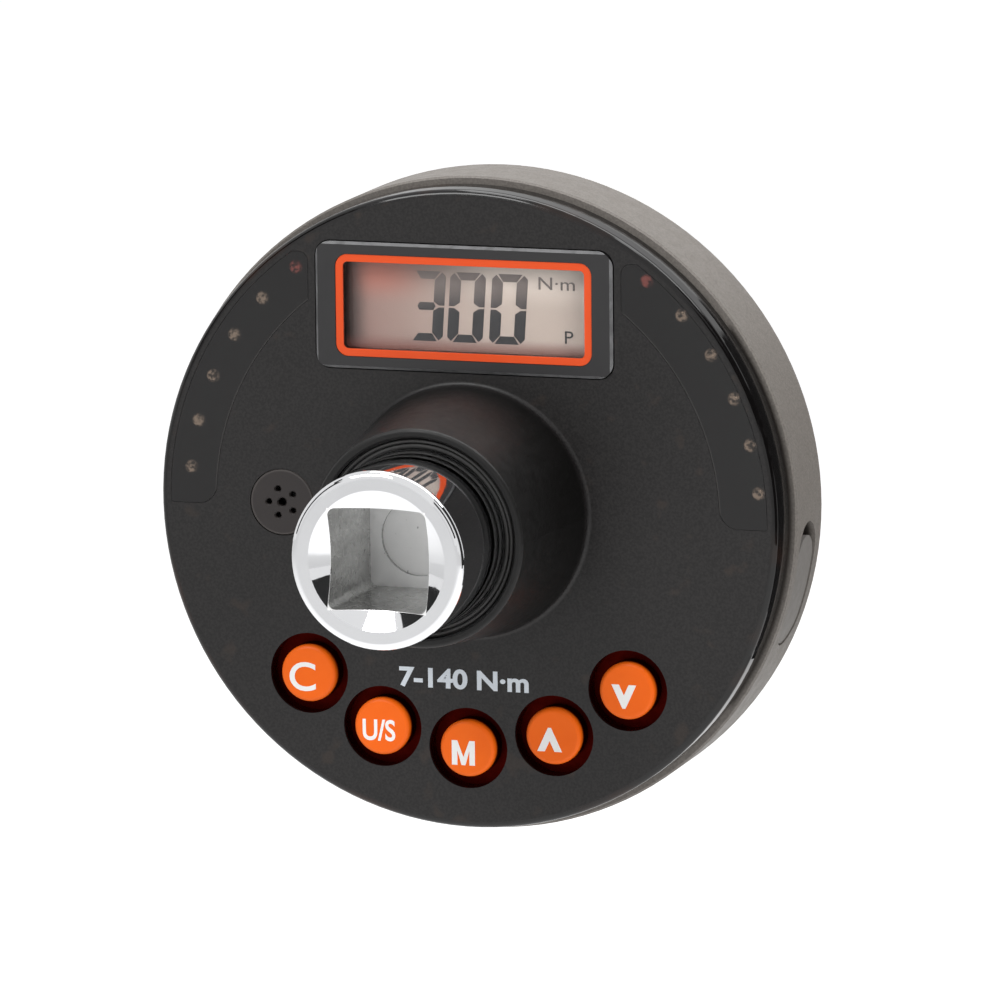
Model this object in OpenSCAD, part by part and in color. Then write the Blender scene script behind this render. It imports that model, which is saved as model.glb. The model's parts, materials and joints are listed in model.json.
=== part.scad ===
// Torque angle gauge: a round electronic instrument that sits between a drive handle and a socket.
// The drive axis runs along Y. The face looks towards -Y, +Z is up with the display upright, and the
// origin is the centre of the drive socket's mouth. Depths are counted from the face towards the rear.

/* [Drive] */
// Outside diameter of the drive socket
socket_d = 22.6; // [21.6:0.1:23.6]
// How far the socket's mouth stands ahead of the face
socket_reach = 35.4; // [32:0.2:42]
// Rounding of the socket's outer edge
socket_edge_r = 0.9; // [0.3:0.1:1.2]
// Across the flats of the square drive hole
square_in = 12.8; // [12.5:0.05:13.2]
// Corner radius of the square drive hole
square_in_corner_r = 1; // [0.5:0.1:1.6]
// Depth of the square drive hole
square_in_depth = 16.5; // [13:0.5:17.5]
// Diameter of the lead-in cone at the mouth of the square hole
mouth_d = 17.8; // [17:0.1:18.4]
// Diameter of the waist that carries the strain gauges
waist_d = 16.6; // [15:0.2:18]
// Across the four gauge flats of the waist
waist_flat = 14; // [12:0.2:14.6]
// Diameter of the flange that stops the shaft on the housing's tube
flange_d = 25.6; // [24.6:0.1:26.2]
// Thickness of that flange
flange_t = 1.2; // [0.8:0.1:1.2]
// Across the flats of the square drive
square_out = 12.65; // [12.4:0.05:12.7]
// Largest diameter over the corners of the square drive
square_out_diagonal = 16.9; // [16.2:0.1:17.4]
// Length of the square drive
square_out_len = 16; // [13:0.5:20]
// Lead-in chamfer at the end of the square drive
square_out_chamfer = 1; // [0.4:0.1:1.5]
// Diameter of the ball that holds the socket on the square drive
ball_d = 4.8; // [4:0.1:5.2]
// How far the ball stands out of its flat
ball_proud = 0.8; // [0.5:0.05:1]
// Distance of the ball from the end of the square drive
ball_from_end = 8; // [6:0.2:9]

/* [Nose] */
// Length of the tapered nose ahead of the face
nose_len = 19.9; // [17:0.1:22]
// Diameter of the nose where it leaves the face
nose_base_d = 32.4; // [31:0.2:35]
// Diameter of the nose at its lip
nose_lip_d = 28; // [27.4:0.1:29.6]
// Bore of the nose that holds the seal and the bush
nose_bore_d = 25.6; // [25.2:0.1:26.2]
// Fillet between the nose and the face
nose_fillet_r = 0.6; // [0.3:0.1:3]
// Rounding of the nose's lip
lip_r = 0.55; // [0.3:0.05:0.6]
// Length of the shaft seal
seal_len = 3.2; // [2.4:0.1:4]
// Length of the plain bush behind the seal
bush_len = 6; // [4:0.2:6.6]

/* [Front cover] */
// Largest diameter of the front cover
cover_d = 82.8; // [81.8:0.2:83.8]
// Wall of the front cover
cover_wall = 1.6; // [1.4:0.1:2.2]
// Depth of the cover's rim
rim_depth = 5; // [4.4:0.1:5.2]
// Wall of the cover's rim
rim_wall = 1.9; // [1.7:0.1:2]
// Rounding of the cover's front edge
rim_edge_r = 0.9; // [0.4:0.1:1]
// Width of the seam between the cover and the housing
seam_gap = 0.4; // [0.2:0.05:0.6]

/* [Rear housing] */
// How far the housing stands out beyond the cover
housing_step = 0.9; // [0.7:0.1:3]
// Wall of the rear housing
housing_wall = 2; // [1.6:0.1:2.2]
// Rounding of the housing's rear edge
rear_edge_r = 3; // [1:0.1:4]
// Thickness of the housing's floor
floor_t = 2; // [1.6:0.1:2.4]
// Diameter of the tube that holds the shaft
tube_d = 28; // [27:0.2:28.4]
// How far the tube stands out of the rear face
tube_proud = 2; // [0.5:0.1:4]
// How far the shaft's shoulder stands out of the tube
shoulder_proud = 0.5; // [0.2:0.1:1.5]

/* [Display] */
// Width of the display bezel
bezel_w = 39.6; // [38.6:0.1:40]
// Height of the display bezel
bezel_h = 16.3; // [15.8:0.1:16.5]
// Distance of the bezel's centre from the cover's edge
bezel_inset = 15.4; // [15.3:0.1:15.8]
// How far the bezel stands out of the face
bezel_proud = 0.4; // [0.1:0.05:0.8]
// Corner radius of the bezel
bezel_corner_r = 2; // [1:0.1:3]
// Bevel of the bezel's front edge
bezel_bevel = 0.35; // [0.1:0.05:0.6]
// Width of the coloured display frame
frame_w = 34.1; // [32:0.1:35]
// Height of the coloured display frame
frame_h = 13.1; // [11:0.1:13.5]
// Line width of the coloured display frame
frame_line = 0.95; // [0.5:0.05:1.5]
// Corner radius of the coloured display frame
frame_corner_r = 1.6; // [1.55:0.05:2.5]
// Thickness of the display lens
lens_t = 1; // [0.8:0.1:1.2]
// Thickness of the liquid crystal panel
lcd_t = 1.8; // [1.2:0.1:2.2]

/* [Keys] */
// Distance of the keys' centres from the cover's edge
key_inset = 10.6; // [9.9:0.1:10.9]
// Angle from one key to the next
key_step = 22; // [21.5:0.1:23]
// Diameter of a key
key_d = 7.4; // [6:0.1:8.6]
// Diameter of the hole in which a key stands
key_hole_d = 10.5; // [9.6:0.1:10.6]
// Diameter of the flange that keeps a key behind the cover
key_flange_d = 11.3; // [11:0.05:11.3]
// Thickness of a key's flange
key_flange_t = 0.7; // [0.5:0.05:1]
// How far a key's top stands out of the face
key_proud = 0.5; // [0:0.05:0.8]
// Rounding of a key's top edge
key_edge_r = 0.6; // [0.2:0.05:1]
// Length of the collar behind each key hole
key_collar = 1; // [0.6:0.1:1.6]
// Travel of a key
key_travel = 0.5; // [0.2:0.05:0.55]
// How far a switch plunger stands out of its switch
plunger_proud = 0.6; // [0.6:0.05:0.9]
// Diameter of a switch plunger
plunger_d = 3.2; // [2.4:0.1:4]
// Width of a key switch
switch_w = 6; // [5:0.1:7]
// Height of a key switch
switch_t = 1.4; // [1.4:0.1:2]

/* [Indicators] */
// Distance of the lamps' centres from the cover's edge
led_inset = 3.2; // [3.1:0.05:3.5]
// Diameter of a lamp
led_d = 2; // [1.6:0.1:2.2]
// Depth of a lamp's top behind the face
led_depth = 2.1; // [1.9:0.1:2.8]
// Lamps on each side
led_count = 6; // [3:1:6]
// Angle of the lowest lamp above the horizontal
led_first = 5.4; // [4:0.1:7]
// Angle from one lamp to the next
led_step = 9.35; // [8.5:0.05:9.5]
// Distance of the lamp windows from the cover's edge
window_edge = 1.5; // [1.3:0.1:1.9]
// Width of the lamp windows
window_w = 6.2; // [5.4:0.1:6.9]
// Height of the windows' lower edge
window_bottom = -0.6; // [-1.4:0.1:0.6]
// Height of the windows' upper edge
window_top = 32.6; // [31.5:0.1:33.2]
// Distance of the windows' inner side from the centre line
window_side = 20.9; // [20.8:0.1:21.4]
// Thickness of the lamp windows
window_t = 1; // [0.6:0.05:1.1]
// Width of the ledge that carries a lamp window
window_ledge = 0.9; // [0.6:0.1:1]

/* [Sounder] */
// Distance of the sounder's centre from the cover's edge
sounder_inset = 16.6; // [15.4:0.2:17.4]
// Diameter of the sounder's grille
grille_d = 8.6; // [7.6:0.1:9]
// Thickness of the sounder's grille
grille_t = 1; // [0.6:0.05:1.1]
// Diameter of the small holes in the grille
grille_hole_d = 0.75; // [0.5:0.05:0.9]
// Diameter of the middle hole in the grille
grille_centre_d = 1.1; // [0.6:0.05:1.6]
// Diameter of the circle of small holes
grille_circle_d = 3.6; // [3:0.1:4.2]
// Number of small holes in the grille
grille_holes = 5; // [4:1:7]
// Countersink of the grille's holes and edge
grille_sink = 0.15; // [0.05:0.05:0.25]
// Diameter of the sounder itself
sounder_d = 8.4; // [7.4:0.1:9]

/* [Data port] */
// Height of the port pocket's upper end
port_top = -1.2; // [-2:0.1:-0.8]
// Length of the port pocket
port_len = 16.2; // [15:0.1:16.6]
// Width of the port pocket
port_w = 7.4; // [7:0.1:8]
// Depth of the port pocket's middle behind the face
port_depth = 10.7; // [10.6:0.05:11]
// Thickness of the port cover
port_cover_t = 1.7; // [1.4:0.1:2]
// Fingernail gap at the upper end of the port cover
port_nail_gap = 1.8; // [0.8:0.1:2.4]
// Diameter of the jack's bore
jack_d = 3.6; // [3.2:0.1:4]
// Width and height of the jack's block
jack_w = 6.4; // [6.2:0.1:7]

/* [Power] */
// Diameter of a dry cell
cell_d = 10.5; // [10:0.1:11]
// Length of a dry cell with its nub
cell_len = 44.5; // [42:0.1:45]
// Distance of each cell from the centre line
cell_x = 21.5; // [21.3:0.1:21.7]
// Room for the spring and the contact plates beyond the cell
contact_room = 5.6; // [4.6:0.1:6]
// Wall of the cell compartments
cell_wall = 1.2; // [0.8:0.1:1.4]
// Width of the housing's rim round the rear cover
rear_rim = 5.6; // [4.5:0.1:6.3]
// Thickness of the rear cover
rear_cover_t = 1.5; // [1.4:0.1:2]

/* [Fasteners and fits] */
// Distance of the case screws from the cover's edge, measured along X
case_screw_inset = 10.8; // [10.4:0.1:11.2]
// Height of the upper case screws
case_screw_top = 13.6; // [12:0.1:14]
// Height of the lower case screws, below the drive axis
case_screw_low = 18.3; // [17.8:0.1:18.8]
// Distance of the rear cover's screws from its edge
cover_screw_inset = 4.8; // [4.4:0.1:5.2]
// Shank diameter of the screws
screw_d = 2.5; // [2:0.1:2.8]
// Thickness of the circuit board
board_t = 1.2; // [0.8:0.1:1.6]
// Gap between pieces that are pressed or laid into each other
seat_gap = 0.05; // [0.02:0.01:0.1]
// Radial gap of pieces that run or slide in a bore
run_gap = 0.05; // [0.02:0.01:0.1]
// Gap round the covers that come off or swing open
cover_gap = 0.3; // [0.2:0.05:0.4]

/* [Hidden] */
$fn = 96;
past = 1;
KEYS = ["clear", "units", "memory", "up", "down"];

socket_r = socket_d / 2;
nose_bore_r = nose_bore_d / 2;
cover_r = cover_d / 2;
cover_in_r = cover_r - rim_wall;
housing_r = cover_r + housing_step;
housing_in_r = housing_r - housing_wall;
recess_r = housing_r - rear_rim;
rear_cover_r = recess_r - cover_gap;
case_screw_x = cover_r - case_screw_inset;
cover_screw_x = rear_cover_r - cover_screw_inset;
tube_r = tube_d / 2;
ball_r = ball_d / 2;

// The stack from the face to the board, set by the keys
face_y = socket_reach;
wall_y = face_y + cover_wall;
collar_y = wall_y + key_collar;
key_flange_y = collar_y + seat_gap;
key_back_y = key_flange_y + key_flange_t;
switch_y = key_back_y + plunger_proud;
board_y = switch_y + switch_t;
board_back_y = board_y + board_t;

// The stack from the board to the rear face, set by the cells
cradle_t = 0.5;
cradle_y = board_back_y + seat_gap;
cell_y = cradle_y + cradle_t + seat_gap + cell_d / 2;
floor_y = cell_y + cell_d / 2 + 2 * seat_gap;
floor_in_y = floor_y - floor_t;
rear_y = floor_y + rear_cover_t;
tube_end_y = rear_y + tube_proud;
shoulder_y = tube_end_y + shoulder_proud;
drive_end_y = shoulder_y + square_out_len;

// The nose and the shaft in it
lip_y = face_y - nose_len;
seal_inset = 0.5;
seal_y = lip_y + seal_inset;
bush_y = seal_y + seal_len;
ridge_w = 0.42;
ridge_step = 0.2;
ridge_y = seal_y + ridge_step;
groove_depth = 0.7;
groove_y = seal_y + groove_depth;
stop_y = bush_y + bush_len;
stop_t = 1.2;
stop_gap = 0.9;
stop_r = socket_r + stop_gap;
nose_step = 0.6;
nose_in_r = nose_bore_r + nose_step;
mouth_angle = 60;
relief_inset = 1.5;
relief_t = 0.6;
waist_taper = (socket_d - waist_d) / 2;
waist_y = stop_y + stop_t;
tube_y = board_back_y + seat_gap + flange_t;
flange_y = tube_y - flange_t;

// The seam: a tongue on the housing enters a rebate in the cover's rim
rim_y = face_y + rim_depth;
housing_y = rim_y + seam_gap;
tongue_inset = 1;
tongue_r = cover_r - tongue_inset;
tongue_len = 0.9;
tongue_step = 0.1;
tongue_in_r = cover_in_r + tongue_step;
tongue_root = 2.2;
board_gap = 0.2;
board_r = tongue_in_r - board_gap;
board_hole_gap = 0.5;
board_hole_d = flange_d + 2 * board_hole_gap;
rim_draft = 0.1;
rim_swell = 2.2;
rim_chamfer = 0.25;
seal_w = 0.5;

// The display stack
bezel_z = cover_r - bezel_inset;
bezel_flange = 0.75;
bezel_back_y = wall_y + seat_gap + bezel_flange;
bezel_lip = 0.8;
bezel_back_w = bezel_w + 2 * bezel_lip;
bezel_back_h = bezel_h + 2 * bezel_lip;
frame_sink = 0.1;
lens_depth = 0.95;
lens_y = face_y + lens_depth;
lens_margin_x = 1.2;
lens_margin_z = 0.9;
lens_w = frame_w + 2 * lens_margin_x;
lens_h = frame_h + 2 * lens_margin_z;
lens_corner_r = frame_corner_r + seat_gap;
lcd_margin_x = 0.7;
lcd_margin_z = 0.4;
lcd_w = lens_w + 2 * lcd_margin_x;
lcd_h = lens_h + 2 * lcd_margin_z;
lcd_back_y = bezel_back_y + lcd_t;
strip_inset = 2;
strip_w = lcd_w - 2 * strip_inset;
strip_h = 1.6;

// The keys and their switches
key_circle_d = cover_d - 2 * key_inset;
key_hole_r = key_hole_d / 2;
collar_wall = 0.9;
collar_r = key_hole_r + collar_wall;
plunger_floor = 0.1;
plunger_end_y = min(switch_y + key_travel, board_y - plunger_floor - key_travel - seat_gap);

// The lamps and their windows
led_circle_d = cover_d - 2 * led_inset;
window_out_r = cover_r - window_edge;
window_in_r = window_out_r - window_w;
window_corner_r = 2.5;
window_end_r = 1.2;

// The sounder
sounder_x = cover_r - sounder_inset;
grille_ledge = 0.8;
gasket_t = 0.4;
gasket_w = 0.8;
sound_hole_d = sounder_d / 5;
sound_hole_len = 0.8;

// The data port
port_mid_z = port_top - port_len / 2;
port_y = face_y + port_depth;
port_cover_sink = 0.15;
port_floor_r = housing_r - port_cover_sink - port_cover_t - cover_gap;
jack_rise = 0.4;
jack_z = port_mid_z + jack_rise;
jack_y = board_back_y + jack_w / 2;
jack_inset = 0.4;
jack_back_x = case_screw_x - jack_inset;
jack_set_back = 3.1;
jack_front_x = housing_in_r - jack_set_back;
jack_barrel_wall = 1.1;
jack_barrel_d = jack_d + 2 * jack_barrel_wall;
jack_end_x = sqrt(pow(port_floor_r, 2) - pow(abs(jack_z) + jack_barrel_d / 2, 2))
    - 2 * seat_gap;
jack_bore_len = 6;
port_wall = 1.3;
port_block_x = jack_front_x + seat_gap;
port_stub_gap = 0.5;
port_stub_len = 1;
port_stub_root = 0.1;
port_stub_d = jack_d - 2 * port_stub_gap;
port_stub_x = jack_end_x - port_stub_len;

// The cells and their contacts
cell_room = 0.8;
compartment_w = cell_d + cell_room;
compartment_h = cell_len + contact_room;
plate_t = 0.4;
plate_inset = 0.75;
plate_w = cell_d - 2 * plate_inset;
nub_d = 3.8;
nub_len = 1;
spring_wire = 0.7;
spring_base_r = 3.4;
spring_tip_r = 2.2;
spring_turns = 3;
spring_len = contact_room - 2 * plate_t - 4 * seat_gap;

// The screws
post_d = 6;
pilot_d = screw_d + 2 * seat_gap;
clear_d = screw_d + 2 * cover_gap;
head_d = 2 * screw_d;
head_t = 1.5;
slot_w_share = 1 / 6;
slot_len_share = 0.6;
head_room = 0.2;
pilot_floor = 0.5;
pilot_room = 0.6;
case_pilot_y = wall_y + pilot_floor;
case_tip_y = case_pilot_y + pilot_room;
cover_head_t = 0.8;
cover_head_y = rear_y - cover_head_t - 2 * seat_gap;
cover_post_len = 5;
cover_screw_len = 4.4;
setscrew_d = 3.2;
setscrew_bite = 0.5;
setscrew_in_r = socket_r - setscrew_bite;
setscrew_floor = 1.2;
setscrew_y = (tube_y + floor_in_y) / 2;

// The ball detent in the square drive
ball_y = drive_end_y - ball_from_end;
ball_z = square_out / 2 + ball_proud - ball_r;
ball_pocket_z = -square_out / 4;
detent_wire = 0.45;
detent_coil_share = 0.62;
detent_coil_r = ball_r * detent_coil_share;
detent_turns = 5;

// The gauges on the waist, their cable and the chips
gauge_w = 4.4;
gauge_len = 5;
gauge_t = 0.15;
gauge_set_back = 3.5;
gauge_y = (waist_y + flange_y) / 2 - gauge_set_back;
flex_w = 3.6;
flex_t = 0.2;
flex_gap = 0.2;
flex_start_y = gauge_y + gauge_len + flex_gap;
flex_pad = 2.2;
flex_end_r = board_hole_d / 2 + flex_pad;
controller_w = 7;
controller_t = 1.2;
controller_gap = 2;
controller_z = -flex_end_r - controller_gap - controller_w / 2;
gyro_w = 4;
gyro_t = 1;

CASE_SCREWS = [for (side = [-1, 1], z = [case_screw_top, -case_screw_low]) [side * case_screw_x, z]];

function arc(centre, r, from, to, steps = 8) = [for (i = [0:steps])
    centre + r * [cos(from + (to - from) * i / steps), sin(from + (to - from) * i / steps)]];
function key_angle(i) = 270 + key_step * (i - (len(KEYS) - 1) / 2);
function on_circle(d, angle) = [d / 2 * cos(angle), d / 2 * sin(angle)];

// A sketch in X and Z, extruded from one depth to another
module slab(from_y, to_y) {
    translate([0, to_y, 0]) rotate([90, 0, 0]) linear_extrude(to_y - from_y) children();
}

// A sketch in Y and Z, extruded along X
module slab_x(from_x, to_x) {
    translate([from_x, 0, 0]) rotate([90, 0, 90]) linear_extrude(to_x - from_x) children();
}

// A profile of radius and Y, turned round the drive axis
module turned() {
    rotate([-90, 0, 0]) rotate_extrude() children();
}

// A round bar along Y, at a point given in X and Z
module rod(d, from_y, to_y, at = [0, 0]) {
    translate([at[0], from_y, at[1]]) rotate([-90, 0, 0]) cylinder(d = d, h = to_y - from_y);
}

// A ring along Y
module ring(outer_d, inner_d, from_y, to_y, at = [0, 0]) {
    difference() {
        rod(outer_d, from_y, to_y, at);
        rod(inner_d, from_y - past, to_y + past, at);
    }
}

// A box along Y, at a point given in X and Z
module block(size, from_y, to_y, at = [0, 0]) {
    translate([at[0] - size[0] / 2, from_y, at[1] - size[1] / 2]) cube([size[0], to_y - from_y, size[1]]);
}

module round_rect(w, h, r) {
    square([w, h - 2 * r], center = true);
    square([w - 2 * r, h], center = true);
    for (x = [-1, 1], y = [-1, 1]) translate([x * (w / 2 - r), y * (h / 2 - r)]) circle(r = r);
}

// An upright slot with round ends
module pill(w, h) {
    square([w, h - w], center = true);
    for (y = [-1, 1]) translate([0, y * (h - w) / 2]) circle(d = w);
}

// A wire along a helix about Z, standing on z = 0, as a swept tube with closed ends
module coil(r_start, r_end, wire, h, turns, steps = 14, sides = 6) {
    n = turns * steps;
    function centre(i) = let (t = i / n, r = r_start + (r_end - r_start) * t)
        [r * cos(360 * turns * t), r * sin(360 * turns * t), wire / 2 + (h - wire) * t];
    points = [for (i = [0:n], k = [0:sides - 1])
        let (c = centre(i), a = 360 * turns * i / n, out = wire / 2 * cos(360 * k / sides))
        [c[0] + out * cos(a), c[1] + out * sin(a), c[2] + wire / 2 * sin(360 * k / sides)]];
    faces = concat([[for (k = [0:sides - 1]) k]], [[for (k = [sides - 1:-1:0]) n * sides + k]],
        [for (i = [0:n - 1], k = [0:sides - 1]) let (next = (k + 1) % sides)
            [i * sides + k, (i + 1) * sides + k, (i + 1) * sides + next, i * sides + next]]);
    polyhedron(points, faces, convexity = 8);
}

// The outline of the right-hand lamp window, grown by g on every side
module window_outline(g) {
    r_in = window_in_r - g;
    low = window_bottom - g;
    top = window_top + g;
    side = window_side - g;
    corner = window_corner_r + g;
    end = window_end_r + g;
    corner_at = [sqrt(pow(r_in + corner, 2) - pow(low + corner, 2)), low + corner];
    difference() {
        intersection() {
            circle(r = window_out_r + g);
            translate([side, low]) square([housing_r, top - low]);
        }
        circle(r = r_in);
        difference() {
            translate([side, low - past]) square([corner_at[0] - side, corner + past]);
            translate(corner_at) circle(r = corner);
        }
        difference() {
            translate([side - past, top - end]) square([end + past, end + past]);
            translate([side + end, top - end]) circle(r = end);
        }
    }
}

// The port pocket's outline as a bar along X
module port_bar(w, top, bottom) {
    slab_x(0, housing_r + past) translate([port_y, (top + bottom) / 2]) pill(w, top - bottom);
}

// A rounded plate with its four front edges bevelled
module bevelled_plate(w, h, corner_r, front_y, back_y, bevel) {
    intersection() {
        slab(front_y, back_y) round_rect(w, h, corner_r);
        slab_x(-w, w) polygon([[back_y, -h / 2], [back_y, h / 2], [front_y + bevel, h / 2],
            [front_y, h / 2 - bevel], [front_y, bevel - h / 2], [front_y + bevel, -h / 2]]);
        translate([0, 0, -h]) linear_extrude(2 * h) polygon([[-w / 2, back_y], [w / 2, back_y],
            [w / 2, front_y + bevel], [w / 2 - bevel, front_y],
            [bevel - w / 2, front_y], [-w / 2, front_y + bevel]]);
    }
}

// Smoked front cover with its tapered nose
module front_cover() {
    shell = concat(
        [[nose_bore_r, lip_y + lip_r / 2], [nose_bore_r + lip_r / 2, lip_y]],
        arc([nose_lip_d / 2 - lip_r, lip_y + lip_r], lip_r, -90, 0),
        arc([nose_base_d / 2 + nose_fillet_r, face_y - nose_fillet_r], nose_fillet_r, 180, 90),
        arc([cover_r - rim_draft - rim_edge_r, face_y + rim_edge_r], rim_edge_r, -90, 0),
        [[cover_r, face_y + rim_swell], [cover_r, rim_y - rim_chamfer], [cover_r - rim_chamfer, rim_y],
            [tongue_r + seat_gap, rim_y], [tongue_r + seat_gap, rim_y - tongue_len - seat_gap],
            [cover_in_r, rim_y - tongue_len - seat_gap], [cover_in_r, wall_y], [nose_in_r, wall_y],
            [nose_in_r, stop_y + stop_t], [stop_r, stop_y + stop_t], [stop_r, stop_y],
            [nose_bore_r, stop_y]]);
    color([0.13, 0.12, 0.12]) difference() {
        union() {
            turned() polygon(shell);
            for (at = CASE_SCREWS) rod(post_d, wall_y - cover_wall / 2, board_y, at);
            for (i = [0:len(KEYS) - 1])
                rod(2 * collar_r, wall_y - cover_wall / 2, collar_y, on_circle(key_circle_d, key_angle(i)));
        }
        for (at = CASE_SCREWS) rod(pilot_d, case_pilot_y, board_y + past, at);
        for (i = [0:len(KEYS) - 1])
            rod(key_hole_d, face_y - past, collar_y + past, on_circle(key_circle_d, key_angle(i)));
        slab(face_y - past, wall_y + past) translate([0, bezel_z])
            round_rect(bezel_w + cover_gap, bezel_h + cover_gap, bezel_corner_r + cover_gap / 2);
        for (side = [0, 1]) mirror([side, 0, 0]) {
            slab(face_y - past, face_y + window_t) window_outline(seat_gap);
            slab(face_y, wall_y + past) window_outline(-window_ledge);
        }
        rod(grille_d + 2 * seat_gap, face_y - past, face_y + grille_t, [-sounder_x, 0]);
        rod(grille_d - 2 * grille_ledge, face_y, wall_y + past, [-sounder_x, 0]);
    }
}

// Rear housing: shell, floor, shaft tube, cell compartments, screw posts and port pocket
module rear_housing() {
    shell = concat(
        [[tongue_in_r, rim_y - tongue_len], [tongue_r, rim_y - tongue_len], [tongue_r, housing_y],
            [housing_r - rim_chamfer, housing_y], [housing_r, housing_y + rim_chamfer]],
        arc([housing_r - rear_edge_r, rear_y - rear_edge_r], rear_edge_r, 0, 90),
        [[recess_r, rear_y], [recess_r, floor_y], [tube_r, floor_y],
            [tube_r, tube_end_y], [socket_r + run_gap, tube_end_y], [socket_r + run_gap, tube_y],
            [tube_r, tube_y], [tube_r, floor_in_y], [housing_in_r, floor_in_y],
            [housing_in_r, housing_y + tongue_root], [tongue_in_r, housing_y + tongue_root]]);
    post_top_y = floor_in_y + floor_t / 2;
    color([0.2, 0.19, 0.18]) difference() {
        union() {
            turned() polygon(shell);
            for (at = CASE_SCREWS) rod(post_d, board_back_y, post_top_y, at);
            for (side = [-1, 1]) {
                block([compartment_w + 2 * cell_wall, compartment_h + 2 * cell_wall], cradle_y, post_top_y,
                    [side * cell_x, 0]);
                rod(post_d, floor_y - cover_post_len, post_top_y, [side * cover_screw_x, 0]);
            }
            intersection() {
                slab_x(port_block_x, housing_r) translate([port_y, port_mid_z])
                    pill(port_w + 2 * port_wall, port_len + 2 * port_wall);
                rod(2 * housing_r - housing_wall, cradle_y, floor_in_y + past);
            }
        }
        for (side = [-1, 1]) {
            block([compartment_w, compartment_h], cradle_y + cradle_t, floor_y + past, [side * cell_x, 0]);
            rod(pilot_d, floor_y - cover_post_len + past / 2, floor_y + past, [side * cover_screw_x, 0]);
        }
        for (at = CASE_SCREWS) {
            rod(clear_d, board_back_y - past, floor_y + past, at);
            rod(head_d + 2 * head_room, floor_y - head_t - head_room, floor_y + past, at);
        }
        difference() {
            port_bar(port_w, port_top, port_top - port_len);
            rod(2 * port_floor_r, face_y, rear_y);
        }
        translate([port_block_x - past, jack_y, jack_z]) rotate([0, 90, 0])
            cylinder(d = jack_barrel_d + 2 * seat_gap, h = housing_r - port_block_x);
        for (side = [0, 1]) mirror([0, 0, side]) translate([0, setscrew_y, 0])
            cylinder(d = setscrew_d + 2 * seat_gap, h = tube_r + past);
    }
}

// One-piece drive shaft: socket, gauge waist, flange, journal and square drive
module drive_shaft() {
    body = concat(
        [[0, 0]],
        arc([socket_r - socket_edge_r, socket_edge_r], socket_edge_r, -90, 0),
        [[socket_r, waist_y], [waist_d / 2, waist_y + waist_taper],
            [waist_d / 2, flange_y - waist_taper], [socket_r, flange_y], [flange_d / 2, flange_y],
            [flange_d / 2, tube_y], [socket_r, tube_y], [socket_r, shoulder_y - lip_r],
            [socket_r - lip_r, shoulder_y], [0, shoulder_y]]);
    flat_len = flange_y - waist_y - waist_taper;
    drive_tip_d = square_out_diagonal - 2 * square_out_chamfer;
    cone_len = mouth_d / 2 / tan(mouth_angle);
    relief_d = square_in - 2 * relief_inset;
    color([0.78, 0.78, 0.8]) difference() {
        union() {
            turned() polygon(body);
            intersection() {
                block([square_out, square_out], shoulder_y - past, drive_end_y);
                turned() polygon([[0, shoulder_y - past], [square_out_diagonal / 2, shoulder_y - past],
                    [square_out_diagonal / 2, drive_end_y - square_out_chamfer],
                    [drive_tip_d / 2, drive_end_y], [0, drive_end_y]]);
            }
        }
        slab(-past, square_in_depth) round_rect(square_in, square_in, square_in_corner_r);
        rotate([-90, 0, 0]) cylinder(d1 = mouth_d, d2 = 0, h = cone_len);
        rod(relief_d, square_in_depth - past, square_in_depth + relief_t);
        for (turn = [0:90:270]) rotate([0, turn, 0])
            translate([-socket_r, waist_y + waist_taper, waist_flat / 2])
                cube([socket_d, flat_len, socket_r]);
        translate([0, ball_y, ball_pocket_z]) cylinder(r = ball_r + run_gap, h = ball_z - ball_pocket_z);
        translate([0, ball_y, ball_z]) sphere(r = ball_r + run_gap);
        for (side = [0, 1]) mirror([0, 0, side]) translate([0, setscrew_y, setscrew_in_r])
            cylinder(d = setscrew_d + 2 * seat_gap, h = socket_r);
    }
}

// Plain bush that guides the shaft in the nose
module nose_bush() {
    color([0.3, 0.29, 0.28])
        ring(nose_bore_d - 2 * seat_gap, socket_d + 2 * run_gap, bush_y, stop_y);
}

// Lip seal in the mouth of the nose, with two ridges on its front
module shaft_seal() {
    in_r = socket_r + run_gap;
    out_r = nose_bore_r - seat_gap;
    groove_w = (out_r - in_r - 2 * ridge_w) / 3;
    inner_r = in_r + groove_w;
    outer_r = out_r - groove_w;
    color([0.1, 0.1, 0.1]) turned() polygon([
        [in_r, bush_y], [in_r, groove_y], [inner_r, groove_y],
        [inner_r, ridge_y], [inner_r + ridge_w, ridge_y], [inner_r + ridge_w, groove_y],
        [outer_r - ridge_w, groove_y], [outer_r - ridge_w, seal_y], [outer_r, seal_y],
        [outer_r, groove_y], [out_r, groove_y], [out_r, bush_y]]);
}

// Sealing cord in the seam between cover and housing
module case_seal() {
    inner_d = 2 * (tongue_r + seat_gap);
    color([0.05, 0.05, 0.05]) ring(inner_d + 2 * seal_w, inner_d, rim_y, housing_y);
}

// Black display bezel, clipped behind the cover by its flange
module display_bezel() {
    color([0.08, 0.08, 0.09]) difference() {
        union() {
            translate([0, 0, bezel_z])
                bevelled_plate(bezel_w, bezel_h, bezel_corner_r, face_y - bezel_proud,
                    bezel_back_y, bezel_bevel);
            intersection() {
                slab(wall_y + seat_gap, bezel_back_y) translate([0, bezel_z])
                    round_rect(bezel_back_w, bezel_back_h, bezel_corner_r);
                rod(2 * (cover_in_r - cover_gap), wall_y, bezel_back_y + past);
            }
        }
        slab(face_y - bezel_proud - past, bezel_back_y) translate([0, bezel_z])
            round_rect(frame_w + 2 * seat_gap, frame_h + 2 * seat_gap, frame_corner_r + seat_gap);
        slab(lens_y, bezel_back_y + past) translate([0, bezel_z])
            round_rect(lens_w + 2 * seat_gap, lens_h + 2 * seat_gap, lens_corner_r + seat_gap);
    }
}

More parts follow.
